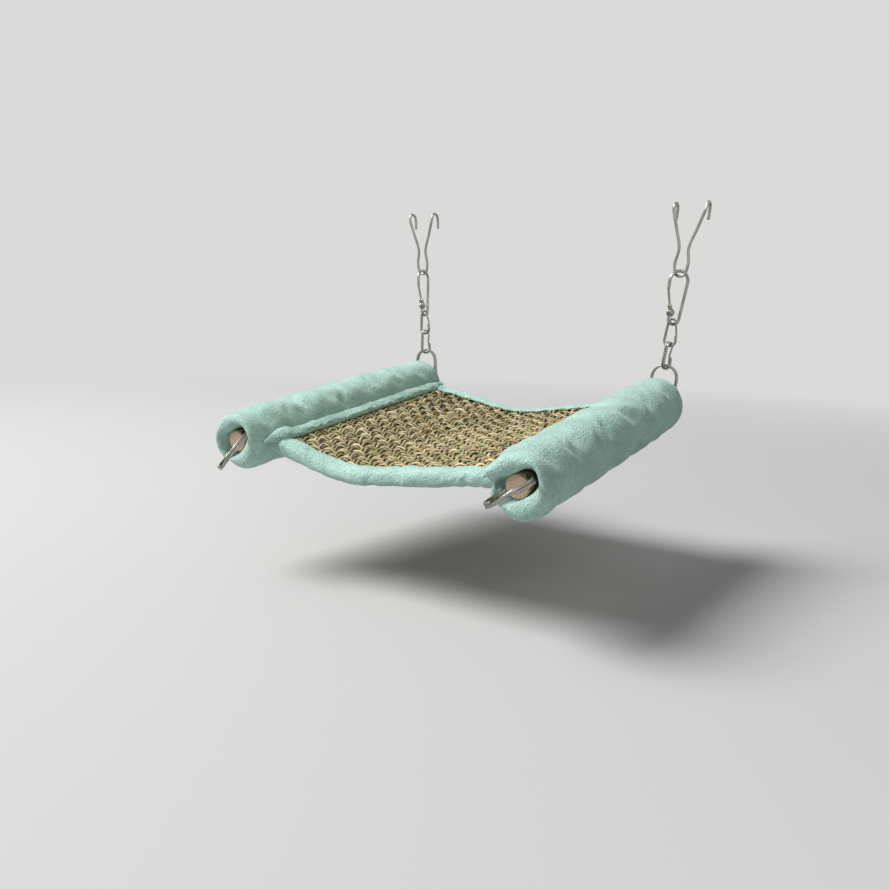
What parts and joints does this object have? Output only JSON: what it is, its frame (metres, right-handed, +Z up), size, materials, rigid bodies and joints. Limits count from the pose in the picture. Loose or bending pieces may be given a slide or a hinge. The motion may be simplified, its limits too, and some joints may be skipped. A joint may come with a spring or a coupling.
{
  "type": "bird hammock",
  "caption": "Bird hammock: a woven seagrass mat slung between padded fleece rolls on wooden dowels, hung from a cage roof by split rings, chain links, snap hooks and wire hangers.",
  "frame": {"origin": "midway between the two hangers, at the height where their roof hooks sit on a bar", "axes": "+X towards the right roll, +Y towards the back end where the chains are, +Z up"},
  "size_m": [0.2614, 0.2573, 0.193],
  "materials": {
    "steel": "bright drawn wire",
    "dowel_wood": "bare sanded hardwood",
    "fleece": "soft napped fleece",
    "wadding": "loose fibre fill",
    "seagrass": "twisted seagrass cord, dry"
  },
  "bodies": {
    "hangers": {"hanger_wire_left": "steel", "hanger_wire_right": "steel"},
    "snap_hook_right": {"snap_hook_right": "steel", "gate_rivet_right": "steel"},
    "snap_gate_right": {"snap_gate_right": "steel"},
    "chain_right": {"upper_link_right": "steel", "lower_link_right": "steel", "split_ring_back_right": "steel"},
    "dowel_right": {"dowel_right": "dowel_wood"},
    "front_ring_right": {"split_ring_front_right": "steel"},
    "hammock": {"roll_cover_left": "fleece", "roll_cover_right": "fleece", "roll_padding_left": "wadding", "roll_padding_right": "wadding", "roll_strip_left": "fleece", "roll_strip_right": "fleece", "seagrass_mat": "seagrass", "binding_front": "fleece", "binding_back": "fleece"},
    "dowel_left": {"dowel_left": "dowel_wood"},
    "front_ring_left": {"split_ring_front_left": "steel"},
    "snap_hook_left": {"snap_hook_left": "steel", "gate_rivet_left": "steel"},
    "snap_gate_left": {"snap_gate_left": "steel"},
    "chain_left": {"upper_link_left": "steel", "lower_link_left": "steel", "split_ring_back_left": "steel"}
  },
  "joints": [
    {"name": "side_swing", "type": "hinge", "parent": "hangers", "child": "snap_hook_right", "pos_m": [0.11409, -0.0044, -0.04753], "axis": [0, 0.9925, 0.1219], "range_deg": [-10, 10]},
    {"name": "fore_swing", "type": "hinge", "parent": "snap_hook_right", "child": "chain_right", "pos_m": [0.1113, -0.0044, -0.08287], "axis": [1, 0, 0], "range_deg": [-12, 12]},
    {"name": "ring_turn_right", "type": "hinge", "parent": "chain_right", "child": "dowel_right", "pos_m": [0.1065, -0.0044, -0.14392], "axis": [1, 0, 0], "range_deg": [-12, 12]},
    {"name": "dowel_turn_right", "type": "hinge", "parent": "dowel_right", "child": "hammock", "pos_m": [0.1065, -0.0044, -0.14392], "axis": [0, 0.9925, 0.1219], "range_deg": [-11, 11]},
    {"name": "dowel_turn_left", "type": "hinge", "parent": "hammock", "child": "dowel_left", "pos_m": [-0.1065, -0.0044, -0.14392], "axis": [0, 0.9925, 0.1219], "range_deg": [-11, 11]},
    {"name": "side_swing_left", "type": "hinge", "parent": "hangers", "child": "snap_hook_left", "pos_m": [-0.11409, -0.0044, -0.04753], "axis": [0, 0.9925, 0.1219], "range_deg": [-10, 10]},
    {"name": "fore_swing_left", "type": "hinge", "parent": "snap_hook_left", "child": "chain_left", "pos_m": [-0.1113, -0.0044, -0.08287], "axis": [1, 0, 0], "range_deg": [-12, 12]},
    {"name": "gate_right", "type": "hinge", "parent": "snap_hook_right", "child": "snap_gate_right", "pos_m": [0.10972, -0.00677, -0.07758], "axis": [-0.7637, 0.6428, 0.0601], "range_deg": [0, 30], "stiffness_Nm_per_rad": 0.002, "springref_deg": -8.59},
    {"name": "gate_left", "type": "hinge", "parent": "snap_hook_left", "child": "snap_gate_left", "pos_m": [-0.11171, -0.0075, -0.07774], "axis": [-0.9969, 0, -0.0785], "range_deg": [0, 30], "stiffness_Nm_per_rad": 0.002, "springref_deg": -8.59},
    {"name": "front_ring_lift_right", "type": "hinge", "parent": "dowel_right", "child": "front_ring_right", "pos_m": [0.1065, -0.22375, -0.17085], "axis": [-0.866, 0.0609, -0.4963], "range_deg": [0, 26]},
    {"name": "front_ring_lift_left", "type": "hinge", "parent": "dowel_left", "child": "front_ring_left", "pos_m": [-0.1065, -0.22375, -0.17085], "axis": [-0.7431, 0.0815, -0.6641], "range_deg": [0, 50]}
  ],
  "couplings": [
    {"joint": "ring_turn_right", "follows": "fore_swing", "ratio": -1},
    {"joint": "dowel_turn_right", "follows": "side_swing", "ratio": -1.0712},
    {"joint": "dowel_turn_left", "follows": "side_swing", "ratio": 1.0712},
    {"joint": "side_swing_left", "follows": "side_swing", "ratio": 1},
    {"joint": "fore_swing_left", "follows": "fore_swing", "ratio": 1}
  ]
}
